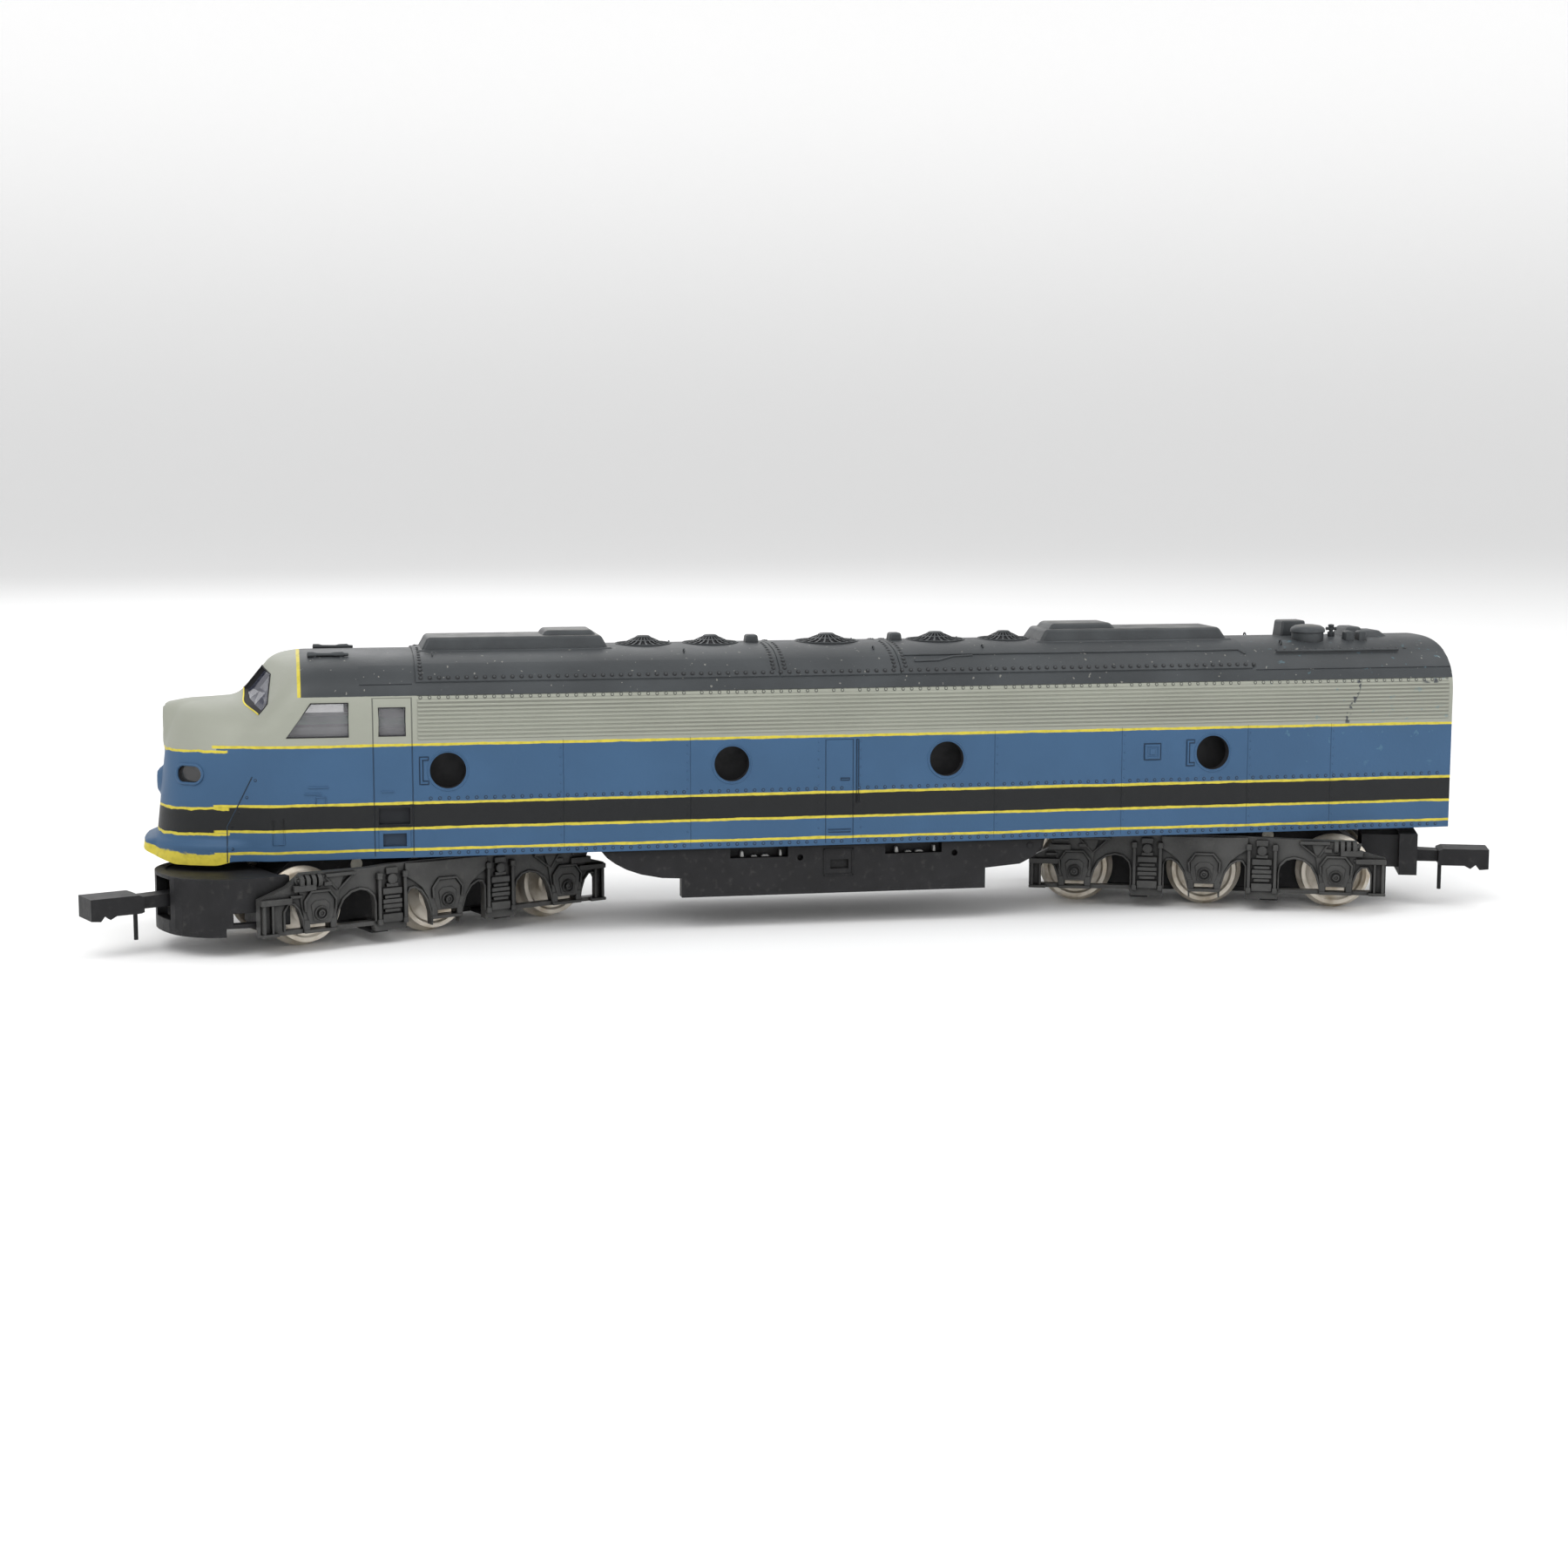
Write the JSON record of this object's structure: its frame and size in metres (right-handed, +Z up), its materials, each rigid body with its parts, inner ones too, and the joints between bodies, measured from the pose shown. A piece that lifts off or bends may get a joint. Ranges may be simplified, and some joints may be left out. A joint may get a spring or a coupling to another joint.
{
  "type": "model diesel locomotive",
  "caption": "Streamlined six-axle model diesel locomotive with a swivelling three-axle truck at each end, geared drive, hooked couplers and a hollow body shell.",
  "frame": {"origin": "on the centre line, halfway between the ends, in the plane under the wheel flanges", "axes": "+Z up; the nose points along -Y; the left side faces +X"},
  "size_m": [0.0305, 0.1399, 0.0289],
  "materials": {
    "body_paint": "satin painted moulding: blue and grey sides, black band and roof, yellow lines",
    "clear": "clear polystyrene",
    "diecast": "blackened zinc die casting",
    "black_plastic": "matt black moulding",
    "nylon": "natural nylon",
    "steel": "bright steel",
    "bronze": "phosphor bronze",
    "wheel_metal": "nickel plated brass, worn at the tread",
    "brass": "turned brass",
    "copper": "enamelled copper windings on steel",
    "board": "printed circuit board",
    "bulb": "clear lamp"
  },
  "bodies": {
    "chassis": {"body_shell": "body_paint", "windshield_glazing": "clear", "cab_glazing_left": "clear", "cab_glazing_right": "clear", "headlight_lens": "clear", "nose_light_lenses": "clear", "frame_left": "diecast", "frame_right": "diecast", "frame_spacers": "nylon", "frame_screws": "steel", "motor_can": "steel", "motor_end_bell": "black_plastic", "brush_caps": "brass", "circuit_board": "board", "headlight_bulb": "bulb", "fuel_tank": "black_plastic", "worm_bearings": "nylon"},
    "drive_line": {"motor_shaft": "steel", "armature": "copper", "flywheel_front": "brass", "flywheel_rear": "brass", "drive_coupling_front": "black_plastic", "drive_coupling_rear": "black_plastic", "worm_front": "steel", "worm_rear": "steel"},
    "front_truck": {"front_gear_housing": "black_plastic", "front_keeper_plate": "black_plastic", "front_side_frame_left": "black_plastic", "front_side_frame_right": "black_plastic", "front_pickup_strips": "bronze", "front_pilot": "black_plastic", "front_coupler_spring": "steel"},
    "front_coupler_arm": {"front_coupler": "black_plastic"},
    "front_worm_gear": {"front_worm_gear": "nylon"},
    "front_idler_lead": {"front_idler_lead": "nylon"},
    "front_idler_trail": {"front_idler_trail": "nylon"},
    "front_wheelset_lead": {"front_wheels_lead": "wheel_metal", "front_axle_lead": "nylon"},
    "front_wheelset_centre": {"front_wheels_centre": "wheel_metal", "front_axle_centre": "steel"},
    "front_wheelset_trail": {"front_wheels_trail": "wheel_metal", "front_axle_trail": "nylon"},
    "rear_truck": {"rear_gear_housing": "black_plastic", "rear_keeper_plate": "black_plastic", "rear_side_frame_left": "black_plastic", "rear_side_frame_right": "black_plastic", "rear_pickup_strips": "bronze", "rear_coupler_pocket": "black_plastic", "rear_coupler_spring": "steel"},
    "rear_coupler_arm": {"rear_coupler": "black_plastic"},
    "rear_worm_gear": {"rear_worm_gear": "nylon"},
    "rear_idler_lead": {"rear_idler_lead": "nylon"},
    "rear_idler_trail": {"rear_idler_trail": "nylon"},
    "rear_wheelset_lead": {"rear_wheels_lead": "wheel_metal", "rear_axle_lead": "nylon"},
    "rear_wheelset_centre": {"rear_wheels_centre": "wheel_metal", "rear_axle_centre": "steel"},
    "rear_wheelset_trail": {"rear_wheels_trail": "wheel_metal", "rear_axle_trail": "nylon"}
  },
  "joints": [
    {"name": "motor_spin", "type": "hinge", "parent": "chassis", "child": "drive_line", "pos_m": [0, 0.0015, 0.0146], "axis": [0, 1, 0], "continuous": true},
    {"name": "front_truck_swivel", "type": "hinge", "parent": "chassis", "child": "front_truck", "pos_m": [0, -0.0395, 0.008], "axis": [0, 0, 1], "range_deg": [-48, 2]},
    {"name": "front_coupler_lift", "type": "hinge", "parent": "front_truck", "child": "front_coupler_arm", "pos_m": [0.00801, -0.05837, 0.0051], "axis": [-0.9205, -0.3907, 0], "range_deg": [0, 8], "stiffness_Nm_per_rad": 0.00002, "springref_deg": -17.19},
    {"name": "front_worm_gear_spin", "type": "hinge", "parent": "front_truck", "child": "front_worm_gear", "pos_m": [0, -0.0395, 0.00996], "axis": [0.9205, 0.3907, 0], "continuous": true},
    {"name": "front_idler_lead_spin", "type": "hinge", "parent": "front_truck", "child": "front_idler_lead", "pos_m": [0.00254, -0.04548, 0.00687], "axis": [0.9205, 0.3907, 0], "continuous": true},
    {"name": "front_idler_trail_spin", "type": "hinge", "parent": "front_truck", "child": "front_idler_trail", "pos_m": [-0.00254, -0.03352, 0.00687], "axis": [0.9205, 0.3907, 0], "continuous": true},
    {"name": "front_wheelset_lead_spin", "type": "hinge", "parent": "front_truck", "child": "front_wheelset_lead", "pos_m": [0.00508, -0.05147, 0.00377], "axis": [0.9205, 0.3907, 0], "continuous": true},
    {"name": "front_wheelset_centre_spin", "type": "hinge", "parent": "front_truck", "child": "front_wheelset_centre", "pos_m": [0, -0.0395, 0.00377], "axis": [0.9205, 0.3907, 0], "continuous": true},
    {"name": "front_wheelset_trail_spin", "type": "hinge", "parent": "front_truck", "child": "front_wheelset_trail", "pos_m": [-0.00508, -0.02753, 0.00377], "axis": [0.9205, 0.3907, 0], "continuous": true},
    {"name": "rear_truck_swivel", "type": "hinge", "parent": "chassis", "child": "rear_truck", "pos_m": [0, 0.0425, 0.008], "axis": [0, 0, 1], "range_deg": [-5.5, 44.5]},
    {"name": "rear_coupler_lift", "type": "hinge", "parent": "rear_truck", "child": "rear_coupler_arm", "pos_m": [0.00634, 0.06041, 0.0051], "axis": [0.9426, -0.3338, 0], "range_deg": [0, 8], "stiffness_Nm_per_rad": 0.00002, "springref_deg": -17.19},
    {"name": "rear_worm_gear_spin", "type": "hinge", "parent": "rear_truck", "child": "rear_worm_gear", "pos_m": [0, 0.0425, 0.00996], "axis": [0.9426, -0.3338, 0], "continuous": true},
    {"name": "rear_idler_lead_spin", "type": "hinge", "parent": "rear_truck", "child": "rear_idler_lead", "pos_m": [-0.00217, 0.03637, 0.00687], "axis": [0.9426, -0.3338, 0], "continuous": true},
    {"name": "rear_idler_trail_spin", "type": "hinge", "parent": "rear_truck", "child": "rear_idler_trail", "pos_m": [0.00217, 0.04863, 0.00687], "axis": [0.9426, -0.3338, 0], "continuous": true},
    {"name": "rear_wheelset_lead_spin", "type": "hinge", "parent": "rear_truck", "child": "rear_wheelset_lead", "pos_m": [-0.00434, 0.03025, 0.00377], "axis": [0.9426, -0.3338, 0], "continuous": true},
    {"name": "rear_wheelset_centre_spin", "type": "hinge", "parent": "rear_truck", "child": "rear_wheelset_centre", "pos_m": [0, 0.0425, 0.00377], "axis": [0.9426, -0.3338, 0], "continuous": true},
    {"name": "rear_wheelset_trail_spin", "type": "hinge", "parent": "rear_truck", "child": "rear_wheelset_trail", "pos_m": [0.00434, 0.05475, 0.00377], "axis": [0.9426, -0.3338, 0], "continuous": true}
  ],
  "couplings": [
    {"joint": "front_worm_gear_spin", "follows": "motor_spin", "ratio": 0.083333},
    {"joint": "front_idler_lead_spin", "follows": "motor_spin", "ratio": -0.041667},
    {"joint": "front_idler_trail_spin", "follows": "motor_spin", "ratio": -0.041667},
    {"joint": "front_wheelset_lead_spin", "follows": "motor_spin", "ratio": 0.083333},
    {"joint": "front_wheelset_trail_spin", "follows": "motor_spin", "ratio": 0.083333},
    {"joint": "rear_worm_gear_spin", "follows": "motor_spin", "ratio": 0.083333},
    {"joint": "rear_idler_lead_spin", "follows": "motor_spin", "ratio": -0.041667},
    {"joint": "rear_idler_trail_spin", "follows": "motor_spin", "ratio": -0.041667},
    {"joint": "rear_wheelset_lead_spin", "follows": "motor_spin", "ratio": 0.083333},
    {"joint": "rear_wheelset_trail_spin", "follows": "motor_spin", "ratio": 0.083333}
  ]
}
